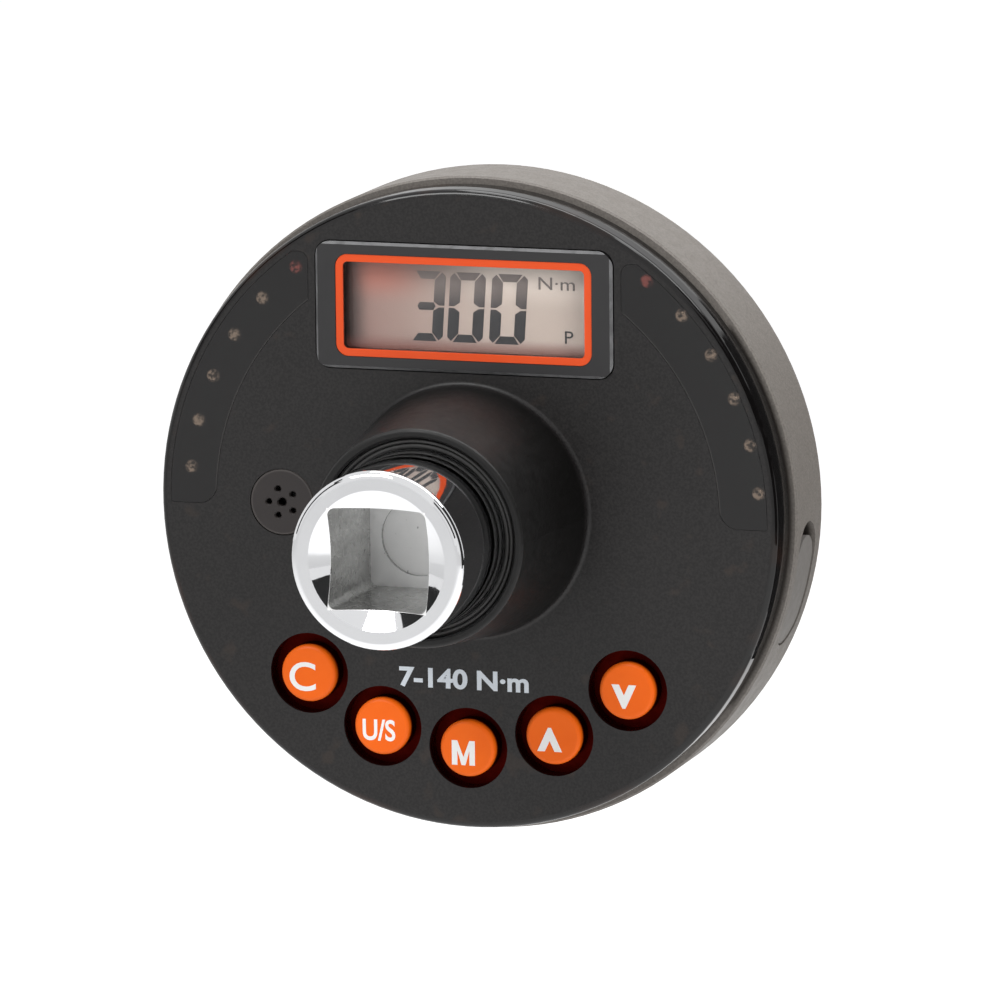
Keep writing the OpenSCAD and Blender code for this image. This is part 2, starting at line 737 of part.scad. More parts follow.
// Coloured frame round the display
module display_frame() {
    front_y = face_y - bezel_proud + frame_sink;
    color([0.92, 0.33, 0.1]) difference() {
        slab(front_y, lens_y) translate([0, bezel_z]) round_rect(frame_w, frame_h, frame_corner_r);
        slab(front_y - past, lens_y + past) translate([0, bezel_z])
            round_rect(frame_w - 2 * frame_line, frame_h - 2 * frame_line, frame_corner_r - frame_line);
    }
}

// Clear lens behind the frame
module display_lens() {
    color([0.75, 0.78, 0.8, 0.4]) slab(lens_y, lens_y + lens_t) translate([0, bezel_z])
        round_rect(lens_w, lens_h, lens_corner_r);
}

// Liquid crystal panel on the back of the bezel
module lcd_panel() {
    color([0.62, 0.6, 0.55]) block([lcd_w, lcd_h], bezel_back_y, lcd_back_y, [0, bezel_z]);
}

// Two conductive rubber strips between the panel and the board
module lcd_strips() {
    color([0.25, 0.25, 0.27]) for (side = [-1, 1])
        block([strip_w, strip_h], lcd_back_y, board_y, [0, bezel_z + side * (lcd_h - strip_h) / 2]);
}

// A smoked window over a row of lamps
module led_window() {
    color([0.1, 0.09, 0.09, 0.6]) slab(face_y, face_y + window_t) window_outline(0);
}

module led_window_left() {
    mirror([1, 0, 0]) led_window();
}

module led_window_right() {
    led_window();
}

// One lamp with a domed top, standing on the board
module led(side, index) {
    at = on_circle(led_circle_d, led_first + led_step * index);
    dome_y = face_y + led_depth + led_d / 2;
    translate([side * at[0], 0, at[1]]) {
        rod(led_d, dome_y, board_y);
        translate([0, dome_y, 0]) sphere(d = led_d);
    }
}

// The top lamp of each row
module limit_leds() {
    color([0.75, 0.12, 0.08]) for (side = [-1, 1]) led(side, led_count - 1);
}

// The other lamps of each row
module progress_leds() {
    color([0.85, 0.75, 0.55]) for (side = [-1, 1], index = [0:led_count - 2]) led(side, index);
}

// A sound hole with a countersunk front edge
module sound_hole(d, at) {
    rod(d, face_y - past, wall_y, at);
    translate([at[0], face_y, at[1]]) rotate([-90, 0, 0])
        cylinder(d1 = d + 2 * grille_sink, d2 = d, h = grille_sink);
}

// Disc with sound holes
module sounder_grille() {
    grille_r = grille_d / 2;
    color([0.2, 0.18, 0.18]) translate([-sounder_x, 0, 0]) difference() {
        turned() polygon([[0, face_y], [grille_r - grille_sink, face_y], [grille_r, face_y + grille_sink],
            [grille_r, face_y + grille_t], [0, face_y + grille_t]]);
        sound_hole(grille_centre_d, [0, 0]);
        for (i = [0:grille_holes - 1])
            sound_hole(grille_hole_d, on_circle(grille_circle_d, 180 + 360 / grille_holes * i));
    }
}

// Foam ring between the sounder and the cover
module sounder_gasket() {
    color([0.15, 0.15, 0.16])
        ring(sounder_d, sounder_d - 2 * gasket_w, wall_y, wall_y + gasket_t, [-sounder_x, 0]);
}

// Sounder on the board
module sounder() {
    front_y = wall_y + gasket_t;
    color([0.1, 0.1, 0.1]) difference() {
        rod(sounder_d, front_y, board_y, [-sounder_x, 0]);
        rod(sound_hole_d, front_y - past, front_y + sound_hole_len, [-sounder_x, 0]);
    }
}

// Round circuit board, clamped between the cover's bosses and the housing's posts
module main_board() {
    color([0.1, 0.3, 0.16]) difference() {
        rod(2 * board_r, board_y, board_back_y);
        rod(board_hole_d, board_y - past, board_back_y + past);
        for (at = CASE_SCREWS) rod(clear_d, board_y - past, board_back_y + past, at);
    }
}

// Microcontroller below the shaft
module controller_chip() {
    color([0.08, 0.08, 0.08])
        block([controller_w, controller_w], board_y - controller_t, board_y, [0, controller_z]);
}

// Turn rate sensor that measures the angle
module gyro_chip() {
    color([0.1, 0.1, 0.1]) block([gyro_w, gyro_w], board_y - gyro_t, board_y, [cell_x, 0]);
}

// Five key switches on the board
module key_switches() {
    color([0.6, 0.6, 0.6]) for (i = [0:len(KEYS) - 1]) {
        at = on_circle(key_circle_d, key_angle(i));
        difference() {
            block([switch_w, switch_w], switch_y, board_y, at);
            rod(plunger_d + 2 * run_gap, switch_y - past, board_y - plunger_floor, at);
        }
    }
}

// Four strain gauges on the flats of the waist
module strain_gauges() {
    color([0.8, 0.6, 0.3]) for (turn = [0:90:270]) rotate([0, turn, 0])
        translate([-gauge_w / 2, gauge_y, waist_flat / 2]) cube([gauge_w, gauge_len, gauge_t]);
}

// Flat cable from the gauges to the board
module gauge_flex() {
    color([0.75, 0.5, 0.15]) slab_x(-flex_w / 2, flex_w / 2) polygon([
        [flex_start_y, -waist_flat / 2], [board_y, -waist_flat / 2], [board_y, -flex_end_r],
        [board_y - flex_t, -flex_end_r], [board_y - flex_t, -waist_flat / 2 - flex_t],
        [flex_start_y, -waist_flat / 2 - flex_t]]);
}

// Two set screws that lock the shaft in the tube
module shaft_setscrews() {
    color([0.3, 0.3, 0.32]) for (side = [0, 1]) mirror([0, 0, side])
        translate([0, setscrew_y, setscrew_in_r + seat_gap]) difference() {
            cylinder(d = setscrew_d, h = tube_r - setscrew_in_r - 2 * seat_gap);
            translate([0, 0, setscrew_floor]) cylinder(d = setscrew_d / 2, h = tube_r, $fn = 6);
        }
}

// Round data jack on the back of the board
module port_jack() {
    color([0.12, 0.12, 0.13]) difference() {
        union() {
            translate([jack_back_x, board_back_y, jack_z - jack_w / 2])
                cube([jack_front_x - jack_back_x, jack_w, jack_w]);
            translate([jack_front_x - past, jack_y, jack_z]) rotate([0, 90, 0])
                cylinder(d = jack_barrel_d, h = jack_end_x - jack_front_x + past);
        }
        translate([jack_end_x - jack_bore_len, jack_y, jack_z]) rotate([0, 90, 0])
            cylinder(d = jack_d, h = jack_bore_len + past);
    }
}

// A dry cell standing along Z, its nub towards the given end
module dry_cell(side, up) {
    can_len = cell_len - nub_len;
    plate_side = compartment_h / 2 - plate_t - 2 * seat_gap;
    translate([side * cell_x, cell_y, 0]) mirror([0, 0, up > 0 ? 0 : 1])
        translate([0, 0, plate_side - cell_len]) {
            cylinder(d = cell_d, h = can_len);
            cylinder(d = nub_d, h = cell_len);
        }
}

module battery_left() {
    color([0.25, 0.27, 0.3]) dry_cell(-1, 1);
}

module battery_right() {
    color([0.25, 0.27, 0.3]) dry_cell(1, -1);
}

// Coil contacts under the cells' flat ends
module battery_springs() {
    start = compartment_h / 2 - plate_t - seat_gap;
    color([0.75, 0.72, 0.65]) for (side = [-1, 1])
        translate([side * cell_x, cell_y, 0]) mirror([0, 0, side > 0 ? 1 : 0])
            translate([0, 0, -start])
                coil(spring_base_r, spring_tip_r, spring_wire, spring_len - seat_gap, spring_turns);
}

// Contact plates at both ends of each compartment
module battery_plates() {
    color([0.75, 0.72, 0.65]) for (side = [-1, 1], end = [-1, 1])
        translate([side * cell_x - plate_w / 2, cell_y - plate_w / 2,
                end * (compartment_h / 2 - plate_t / 2) - plate_t / 2])
            cube([plate_w, plate_w, plate_t]);
}

// A screw along Y with its head towards the rear and a cross recess in it
module screw(at, tip_y, head_y, d, wide, high) {
    slot_w = wide * slot_w_share;
    slot_len = wide * slot_len_share;
    difference() {
        union() {
            rod(d, tip_y, head_y + high / 2, at);
            rod(wide, head_y, head_y + high, at);
        }
        for (arms = [[slot_w, slot_len], [slot_len, slot_w]])
            block(arms, head_y + high / 2, head_y + high + past, at);
    }
}

// Four case screws, from the housing's floor into the cover's bosses
module case_screws() {
    color([0.55, 0.55, 0.57]) for (at = CASE_SCREWS)
        screw(at, case_tip_y, floor_y - head_t - head_room, screw_d, head_d, head_t);
}

// Spring behind the ball
module detent_spring() {
    top_z = ball_z - sqrt(pow(ball_r, 2) - pow(detent_coil_r, 2)) - 2 * seat_gap;
    color([0.6, 0.6, 0.62]) translate([0, ball_y, ball_pocket_z])
        coil(detent_coil_r, detent_coil_r, detent_wire, top_z - ball_pocket_z, detent_turns, 12);
}

// A key: a round cap with a retaining flange
module key(i) {
    top_y = face_y - key_proud;
    at = on_circle(key_circle_d, key_angle(i));
    color([0.95, 0.36, 0.08]) translate([at[0], 0, at[1]]) turned() polygon(concat(
        [[0, top_y]],
        arc([key_d / 2 - key_edge_r, top_y + key_edge_r], key_edge_r, -90, 0),
        [[key_d / 2, key_flange_y], [key_flange_d / 2, key_flange_y], [key_flange_d / 2, key_back_y],
            [0, key_back_y]]));
}

// The plunger of a key switch
module plunger(i) {
    color([0.15, 0.15, 0.15])
        rod(plunger_d, key_back_y, plunger_end_y, on_circle(key_circle_d, key_angle(i)));
}

module key_clear() { key(0); }
module key_units() { key(1); }
module key_memory() { key(2); }
module key_up() { key(3); }
module key_down() { key(4); }
module plunger_clear() { plunger(0); }
module plunger_units() { plunger(1); }
module plunger_memory() { plunger(2); }
module plunger_up() { plunger(3); }
module plunger_down() { plunger(4); }

// Round rear cover over the cells and the case screws
module rear_cover() {
    recess_d = head_d + 2 * head_room;
    color([0.18, 0.17, 0.17]) difference() {
        rod(2 * rear_cover_r, floor_y, rear_y);
        rod(tube_d + 2 * cover_gap, floor_y - past, rear_y + past);
        for (side = [-1, 1]) {
            rod(clear_d, floor_y - past, rear_y + past, [side * cover_screw_x, 0]);
            rod(recess_d, cover_head_y, rear_y + past, [side * cover_screw_x, 0]);
        }
    }
}

// Two captive screws of the rear cover
module cover_screws() {
    color([0.55, 0.55, 0.57]) for (side = [-1, 1])
        screw([side * cover_screw_x, 0], floor_y - cover_screw_len, cover_head_y,
            screw_d, head_d, cover_head_t);
}

// Rubber cover of the data port, flush with the housing
module port_cover() {
    color([0.16, 0.15, 0.15]) union() {
        difference() {
            intersection() {
                port_bar(port_w - 2 * cover_gap, port_top - port_nail_gap, port_top - port_len + cover_gap);
                rod(2 * (housing_r - port_cover_sink), face_y, rear_y);
            }
            rod(2 * (port_floor_r + cover_gap), face_y, rear_y);
        }
        translate([port_stub_x, jack_y, jack_z]) rotate([0, 90, 0])
            cylinder(d = port_stub_d, h = port_floor_r - port_stub_x + port_stub_root);
    }
}

// Ball that holds a socket on the square drive
module detent_ball() {
    color([0.8, 0.8, 0.82]) translate([0, ball_y, ball_z]) sphere(r = ball_r);
}

front_cover();
rear_housing();
drive_shaft();
nose_bush();
shaft_seal();
case_seal();
display_bezel();
display_frame();
display_lens();
lcd_panel();
lcd_strips();
led_window_left();
led_window_right();
limit_leds();
progress_leds();
sounder_grille();
sounder_gasket();
sounder();
main_board();
controller_chip();
gyro_chip();
key_switches();
strain_gauges();
gauge_flex();
shaft_setscrews();
port_jack();
battery_left();
battery_right();
battery_springs();
battery_plates();
case_screws();
detent_spring();
key_clear();
key_units();
key_memory();
key_up();
key_down();
plunger_clear();
plunger_units();
plunger_memory();
plunger_up();
plunger_down();
rear_cover();
cover_screws();
port_cover();
detent_ball();
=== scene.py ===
import json
import math

import bmesh
import bpy
from mathutils import Matrix, Vector


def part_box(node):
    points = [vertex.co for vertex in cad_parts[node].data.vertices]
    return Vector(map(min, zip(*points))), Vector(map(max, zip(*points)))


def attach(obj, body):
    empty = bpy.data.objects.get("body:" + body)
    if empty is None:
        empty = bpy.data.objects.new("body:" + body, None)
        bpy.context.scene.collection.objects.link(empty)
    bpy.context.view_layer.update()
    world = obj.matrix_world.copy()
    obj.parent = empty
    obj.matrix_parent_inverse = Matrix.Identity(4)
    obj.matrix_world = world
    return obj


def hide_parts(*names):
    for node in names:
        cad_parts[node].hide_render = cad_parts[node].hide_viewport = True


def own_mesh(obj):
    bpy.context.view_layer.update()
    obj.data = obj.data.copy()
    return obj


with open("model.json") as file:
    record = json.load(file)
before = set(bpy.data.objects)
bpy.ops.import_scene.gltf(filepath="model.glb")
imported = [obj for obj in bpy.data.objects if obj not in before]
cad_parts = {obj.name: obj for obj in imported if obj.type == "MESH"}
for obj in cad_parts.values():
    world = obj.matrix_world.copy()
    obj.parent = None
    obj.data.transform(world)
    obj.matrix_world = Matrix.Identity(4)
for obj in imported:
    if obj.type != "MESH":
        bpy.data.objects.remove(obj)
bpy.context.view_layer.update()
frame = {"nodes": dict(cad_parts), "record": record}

MM = 0.001
scene = bpy.context.scene
nodes = frame["nodes"]
slot_of = {part["node"]: part["material_slot"] for part in frame["record"]["subparts"]}

# Depths along the drive axis, in millimetres from the mouth of the socket
FACE_Y = 35.4
KEY_TOP_Y = 34.9
LCD_Y = 37.8

# Lamps on their circle: radius in millimetres, first angle and step in degrees
LAMP_R = 38.2
LAMP_FIRST = 5.4
LAMP_STEP = 9.35

# Camera at the photograph's viewing angle: angles in degrees, target in millimetres, the rest in metres
CAMERA_AZIMUTH = 18.111
CAMERA_ELEVATION = 10.390
CAMERA_ROLL = -0.548
CAMERA_TARGET = (4.587, FACE_Y, 1.677)
CAMERA_DISTANCE = 1.086372
CAMERA_CLIP = (0.01, 20)
# Focal length and sensor width, in millimetres
CAMERA_LENS = 307.84
CAMERA_SENSOR = 36

# Zones in millimetres over which one finish passes into another. On the front cover:
RIM_RADIUS = (40.2, 40.9)
NOSE_DEPTH = (34.0, 35.0)
WELL_DEPTH = (FACE_Y + 0.15, FACE_Y + 0.7)
WELL_HEIGHT = (-17.0, -16.5)
LEDGE_DEPTH = (FACE_Y + 0.9, FACE_Y + 0.95)
LEDGE_INNER = (38.6, 38.7)
LEDGE_OUTER = (39.9, 39.95)
LEDGE_HEIGHT = (-1.2, -1.0)
# On the housing, round the port cover, where its pocket gets painted shade:
POCKET_RADIUS = (41.2, 42.0)
POCKET_ACROSS = (33.0, 34.0)
POCKET_DEPTH = (50.3, 50.6)
# On the lamp windows and, outwards from its middle, on each lamp:
WINDOW_DEPTH = (FACE_Y + 0.3, FACE_Y + 0.6)
WINDOW_EDGE = (33.72, 33.92)
LAMP_EDGE = (0.5, 1.0)
# In the drive hole:
HOLE_REACH = (6.41, 6.46)
HOLE_DEPTH = (17.2, 17.4)
HOLE_SHADE = (10.0, 16.8)
# On the display's frame and on the keys, behind which painted shade begins, and, inwards from its edge, on
# the sounder's disc, where a painted highlight lies:
FRAME_DEPTH = (35.3, 35.5)
KEY_DEPTH = (35.6, 36.5)
DISC_EDGE = (0.4, 0.15)
# On the display's panel and its ink:
PANEL_ACROSS = (-16.5, 6.0)
PANEL_UPPER = (25.5, 30.5)
PANEL_RED = (-12.5, -4.0)
PANEL_PALE = (-4.0, 6.0)
PANEL_SHADOW = (-16.4, -12.8)
PANEL_FOOT = (20.5, 22.2)
INK_FADE = (24.5, 30.2)

# Most of a noise lies between these values
NOISE_LOW = 0.3
NOISE_HIGH = 0.7

# Edges sharper than this stay sharp on smooth meshes
SHARP_ANGLE = math.radians(50)


def place_camera():
    angles = (CAMERA_AZIMUTH, CAMERA_ELEVATION, CAMERA_ROLL)
    azimuth, elevation, roll = (math.radians(angle) for angle in angles)
    target = Vector(CAMERA_TARGET) * MM
    level = math.cos(elevation)
    back = Vector((math.sin(azimuth) * level, -math.cos(azimuth) * level, math.sin(elevation)))
    right = Vector((math.cos(azimuth), math.sin(azimuth), 0))
    up = back.cross(right)
    turned_right = right * math.cos(roll) + up * math.sin(roll)
    turned_up = up * math.cos(roll) - right * math.sin(roll)
    data = bpy.data.cameras.new("camera")
    data.sensor_width = CAMERA_SENSOR
    data.lens = CAMERA_LENS
    data.clip_start, data.clip_end = CAMERA_CLIP
    camera = bpy.data.objects.new("camera", data)
    scene.collection.objects.link(camera)
    axes = Matrix((turned_right, turned_up, back)).transposed().to_4x4()
    camera.matrix_world = Matrix.Translation(target + back * CAMERA_DISTANCE) @ axes
    scene.camera = camera


place_camera()


class Paint:
    """A material under construction: nodes are added by type, and inputs take values or sockets."""

    def __init__(self, name):
        self.material = bpy.data.materials.new(name)
        self.material.use_nodes = True
        self.tree = self.material.node_tree
        self.tree.nodes.clear()
        self.out = self.tree.nodes.new("ShaderNodeOutputMaterial")

    def add(self, kind, inputs=(), **settings):
        node = self.tree.nodes.new("ShaderNode" + kind)
        for key, value in settings.items():
            setattr(node, key, value)
        for key, value in dict(inputs).items():
            if isinstance(value, bpy.types.NodeSocket):
                self.tree.links.new(value, node.inputs[key])
            else:
                node.inputs[key].default_value = value
        return node

    def math(self, operation, first, second=0.0):
        return self.add("Math", {0: first, 1: second}, operation=operation).outputs[0]

    def product(self, first, *others):
        for other in others:
            first = self.math("MULTIPLY", first, other)
        return first

    def length(self, first, second):
        squares = self.math("ADD", self.product(first, first), self.product(second, second))
        return self.math("SQRT", squares)

    def place(self):
        return self.add("TexCoord").outputs["Object"]

    def xyz(self):
        return self.add("SeparateXYZ", {0: self.place()}).outputs

    def radius(self):
        """Distance from the drive axis, in metres."""
        x, _, z = self.xyz()
        return self.length(x, z)

    def frontness(self):
        """1 on a face across the drive axis, 0 on a face along it."""
        normal = self.add("NewGeometry").outputs["Normal"]
        return self.math("ABSOLUTE", self.add("SeparateXYZ", {0: normal}).outputs[1])

    def noise(self, scale, detail=4.0, rough=0.55, vector=None):
        inputs = {"Scale": scale, "Detail": detail, "Roughness": rough, "Vector": vector or self.place()}
        return self.add("TexNoise", inputs).outputs["Fac"]

    def span(self, value, low, high, to_low, to_high):
        """Goes smoothly from to_low to to_high as a value goes from low to high."""
        inputs = {"Value": value, "From Min": low, "From Max": high, "To Min": to_low, "To Max": to_high}
        return self.add("MapRange", inputs, interpolation_type="SMOOTHSTEP").outputs[0]

    def between(self, value, zone, to_low, to_high):
        """The same for a length in metres and a zone in millimetres."""
        low, high = zone
        return self.span(value, low * MM, high * MM, to_low, to_high)

    def wander(self, low, high, scale, detail):
        """A value that wanders between two others."""
        return self.span(self.noise(scale, detail), NOISE_LOW, NOISE_HIGH, low, high)

    def mix(self, factor, first, second):
        node = self.add("Mix", {"Factor": factor}, data_type="RGBA")
        for index, value in ((6, first), (7, second)):
            if isinstance(value, bpy.types.NodeSocket):
                self.tree.links.new(value, node.inputs[index])
            else:
                node.inputs[index].default_value = (*value, 1)
        return node.outputs[2]

    def bump(self, height, distance):
        return self.add("Bump", {"Height": height, "Distance": distance, "Strength": 1.0}).outputs[0]

    def principled(self, **inputs):
        named = {key.replace("_", " ").title().replace("Ior", "IOR"): value for key, value in inputs.items()}
        for key in ("Base Color", "Emission Color"):
            if isinstance(named.get(key), tuple):
                named[key] = (*named[key], 1)
        return self.add("BsdfPrincipled", named)

    def finish(self, shader):
        self.tree.links.new(shader.outputs[0], self.out.inputs["Surface"])
        return self.material


def smoked_cover():
    """Smoked plastic: grain on the face, a smooth nose, a glossy rim and key holes painted dark red as a
    reflection of the orange keys.
    """
    paint = Paint("smoked_cover")
    _, depth, height = paint.xyz()
    radius = paint.radius()
    rim = paint.between(radius, RIM_RADIUS, 0.0, 1.0)
    nose = paint.between(depth, NOSE_DEPTH, 1.0, 0.0)
    deep = paint.between(depth, WELL_DEPTH, 0.0, 1.0)
    well_painted_reflection = paint.product(deep, paint.between(height, WELL_HEIGHT, 1.0, 0.0))

    grain = paint.wander(0.0, 1.0, scale=3200, detail=2)
    face = paint.mix(grain, (0.0066, 0.0058, 0.0058), (0.0162, 0.0147, 0.0145))
    speck = paint.span(paint.noise(scale=260, detail=2), 0.62, 0.74, 0.0, 0.5)
    face = paint.mix(speck, face, (0.034, 0.024, 0.019))
    face = paint.mix(nose, face, (0.0026, 0.0023, 0.0021))
    # Key holes: dark red, a painted reflection of the orange keys, and metallic so that they mirror in dark
    # red only
    face = paint.mix(well_painted_reflection, face, (0.040, 0.0012, 0.0010))
    brown = paint.span(paint.noise(scale=75, detail=3), 0.5, 0.72, 0.0, 1.0)
    edge = paint.mix(brown, (0.0035, 0.0030, 0.0030), (0.022, 0.009, 0.005))
    colour = paint.mix(rim, face, edge)

    rough = paint.wander(0.40, 0.48, scale=700, detail=3)
    rough = paint.math("SUBTRACT", rough, paint.product(rim, 0.36))
    rough = paint.math("ADD", rough, paint.product(nose, 0.03))
    rough = paint.math("SUBTRACT", rough, paint.product(well_painted_reflection, 0.15))
    matte = paint.math("SUBTRACT", 1.0, paint.math("MAXIMUM", rim, nose))
    fine = paint.product(paint.noise(scale=2600, detail=2), matte)

    # The ledge behind the lamp windows lets the lamps through
    ledge = paint.between(depth, LEDGE_DEPTH, 0.0, 1.0)
    ledge = paint.product(ledge, paint.between(radius, LEDGE_INNER, 0.0, 1.0))
    ledge = paint.product(ledge, paint.between(radius, LEDGE_OUTER, 1.0, 0.0))
    ledge = paint.product(ledge, paint.between(height, LEDGE_HEIGHT, 0.0, 1.0))
    return paint.finish(paint.principled(
        base_color=colour, roughness=rough, metallic=well_painted_reflection, normal=paint.bump(fine, 0.000014),
        alpha=paint.math("SUBTRACT", 1.0, ledge), specular_ior_level=0.35))


def housing_plastic():
    """Matte speckled plastic, with painted shade in the pocket of the port cover."""
    paint = Paint("housing_plastic")
    x, depth, _ = paint.xyz()
    speckle = paint.span(paint.noise(scale=3400, detail=3), 0.34, 0.66, 0.0, 1.0)
    colour = paint.mix(speckle, (0.145, 0.131, 0.118), (0.192, 0.174, 0.157))
    # Painted shade: the pocket round the port cover is darkened
    pocket_painted_shade = paint.between(paint.radius(), POCKET_RADIUS, 1.0, 0.0)
    pocket_painted_shade = paint.product(pocket_painted_shade, paint.between(x, POCKET_ACROSS, 0.0, 1.0))
    pocket_painted_shade = paint.product(pocket_painted_shade, paint.between(depth, POCKET_DEPTH, 1.0, 0.0))
    colour = paint.mix(pocket_painted_shade, colour, (0.020, 0.015, 0.012))
    rough = paint.wander(0.5, 0.62, scale=500, detail=3)
    normal = paint.bump(paint.noise(scale=3400, detail=3), 0.00004)
    return paint.finish(paint.principled(base_color=colour, roughness=rough, normal=normal, ior=1.5))


def plastic(name, dark, light, low, high, grain=2600, height=0.00001):
    """Plastic, rubber or print with two tones, a roughness from low to high and a fine grain."""
    paint = Paint(name)
    colour = paint.mix(paint.noise(scale=180), dark, light)
    rough = paint.wander(low, high, scale=720, detail=3)
    normal = paint.bump(paint.noise(scale=grain, detail=3), height)
    return paint.finish(paint.principled(base_color=colour, roughness=rough, normal=normal))


def metal(name, dark, light, low, high):
    """Bare metal with two tones, a roughness from low to high and a slight unevenness."""
    paint = Paint(name)
    colour = paint.mix(paint.noise(scale=400, detail=3), dark, light)
    rough = paint.wander(low, high, scale=900, detail=4)
    normal = paint.bump(paint.noise(scale=60, detail=2), 0.000004)
    return paint.finish(paint.principled(base_color=colour, metallic=1.0, roughness=rough, normal=normal))


def clear_lens():
    """Clear plastic that lets light pass to what lies behind it."""
    paint = Paint("clear_lens")
    colour = (0.97, 0.97, 0.97)
    rough = paint.wander(0.012, 0.02, scale=800, detail=3)
    glass = paint.principled(base_color=colour, transmission_weight=1.0, roughness=rough, ior=1.3)
    clear = paint.add("BsdfTransparent", {"Color": (*colour, 1)})
    shadow = paint.add("LightPath").outputs["Is Shadow Ray"]
    return paint.finish(paint.add("MixShader", {0: shadow, 1: glass.outputs[0], 2: clear.outputs[0]}))


def smoked_window():
    """Smooth smoked plastic, dark at its front, through which the lamps are only just seen."""
    paint = Paint("smoked_window")
    cover = paint.between(paint.xyz()[1], WINDOW_DEPTH, 0.9, 0.0)
    colour = paint.mix(paint.noise(scale=90, detail=3), (0.0130, 0.0122, 0.0123), (0.0155, 0.0146, 0.0147))
    edge = paint.between(paint.radius(), WINDOW_EDGE, 0.8, 0.0)
    colour = paint.mix(edge, colour, (0.055, 0.052, 0.050))
    rough = paint.wander(0.36, 0.42, scale=300, detail=2)
    return paint.finish(paint.principled(
        base_color=colour, roughness=rough, alpha=cover, specular_ior_level=0.36))


def lamp(name, colour, strength):
    """A mottled lamp that glows a little, fading at its edge."""
    paint = Paint(name)
    x, _, z = paint.xyz()
    step = math.radians(LAMP_STEP)
    angle = paint.math("ARCTAN2", z, paint.math("ABSOLUTE", x))
    count = paint.math("DIVIDE", paint.math("SUBTRACT", angle, math.radians(LAMP_FIRST)), step)
    along = paint.math("SUBTRACT", count, paint.math("ROUND", count))
    along = paint.product(along, step * LAMP_R * MM)
    across = paint.math("SUBTRACT", paint.radius(), LAMP_R * MM)
    middle = paint.between(paint.length(along, across), LAMP_EDGE, strength, 0.0)
    mottle = paint.span(paint.noise(scale=1900, detail=1), 0.34, 0.66, 0.2, 1.9)
    return paint.finish(paint.principled(
        base_color=(0.05, 0.045, 0.04), roughness=0.25, emission_color=colour,
        emission_strength=paint.product(middle, mottle)))


def chrome():
    """Polished plating, satin inside the drive hole, with painted shade there: walls darker than the back,
    and darker still with depth.
    """
    paint = Paint("chromed_steel")
    x, depth, z = paint.xyz()
    reach = paint.math("MAXIMUM", paint.math("ABSOLUTE", x), paint.math("ABSOLUTE", z))
    inside = paint.between(reach, HOLE_REACH, 1.0, 0.0)
    inside = paint.product(inside, paint.between(depth, HOLE_DEPTH, 1.0, 0.0))
    end = paint.span(paint.frontness(), 0.6, 0.8, 0.0, 1.0)

    shine = paint.mix(paint.noise(scale=300, detail=3), (0.70, 0.705, 0.72), (0.76, 0.765, 0.775))
    drawn_out = paint.add("Mapping", {"Vector": paint.place(), "Scale": (1, 0.22, 1)}).outputs[0]
    streaks = paint.noise(scale=420, detail=5, rough=0.7, vector=drawn_out)
    # Painted shade in the drive hole: streaked walls darker than the back, and darker still with depth
    walls = paint.mix(streaks, (0.22, 0.22, 0.215), (0.80, 0.80, 0.79))
    walls = paint.mix(paint.between(depth, HOLE_SHADE, 0.0, 0.6), walls, (0.24, 0.24, 0.235))
    back = paint.mix(paint.noise(scale=500), (0.88, 0.88, 0.875), (0.97, 0.97, 0.965))
    satin = paint.mix(end, walls, back)
    spots = paint.span(paint.noise(scale=1150, detail=2), 0.70, 0.74, 0.0, 0.8)
    satin = paint.mix(spots, satin, (0.05, 0.05, 0.05))

    rough = paint.wander(0.02, 0.05, scale=900, detail=4)
    rough = paint.math("ADD", rough, paint.product(inside, paint.span(end, 0.0, 1.0, 0.24, 0.5)))
    normal = paint.bump(paint.noise(scale=140, detail=2), 0.00001)
    return paint.finish(paint.principled(
        base_color=paint.mix(inside, shine, satin), metallic=1.0, roughness=rough, normal=normal))


def tone_with_painted_shade_behind(name, zone, dark, light, base, low, high):
    """Coloured plastic in front of a zone of depths; behind it painted shade, dark and without a white gloss.
    """
    paint = Paint(name)
    back = paint.between(paint.xyz()[1], zone, 0.0, 1.0)
    # Painted shade: dark behind the zone, and metallic there so that no white gloss shows
    colour = paint.mix(back, paint.mix(paint.noise(scale=240), dark, light), base)
    rough = paint.wander(low, high, scale=900, detail=3)
    normal = paint.bump(paint.noise(scale=2400, detail=3), 0.000008)
    return paint.finish(paint.principled(
        base_color=colour, roughness=rough, metallic=back, normal=normal, specular_ior_level=0.28))


def bezel():
    """Dark smooth plastic whose bevelled edge carries a lighter, painted highlight."""
    paint = Paint("bezel_plastic")
    front = paint.frontness()
    bevel = paint.product(paint.span(front, 0.45, 0.6, 0.0, 1.0), paint.span(front, 0.8, 0.95, 1.0, 0.0))
    # Painted highlight along the bevelled edge, mottled by a noise
    bevel_highlight = paint.product(bevel, paint.span(paint.noise(scale=500), 0.3, 0.6, 0.55, 1.0))
    colour = paint.mix(paint.noise(scale=180), (0.0135, 0.0128, 0.0136), (0.0195, 0.0185, 0.0194))
    colour = paint.mix(bevel_highlight, colour, (0.20, 0.20, 0.205))
    rough = paint.wander(0.28, 0.36, scale=720, detail=3)
    normal = paint.bump(paint.noise(scale=2600, detail=3), 0.00001)
    return paint.finish(paint.principled(base_color=colour, roughness=rough, normal=normal))


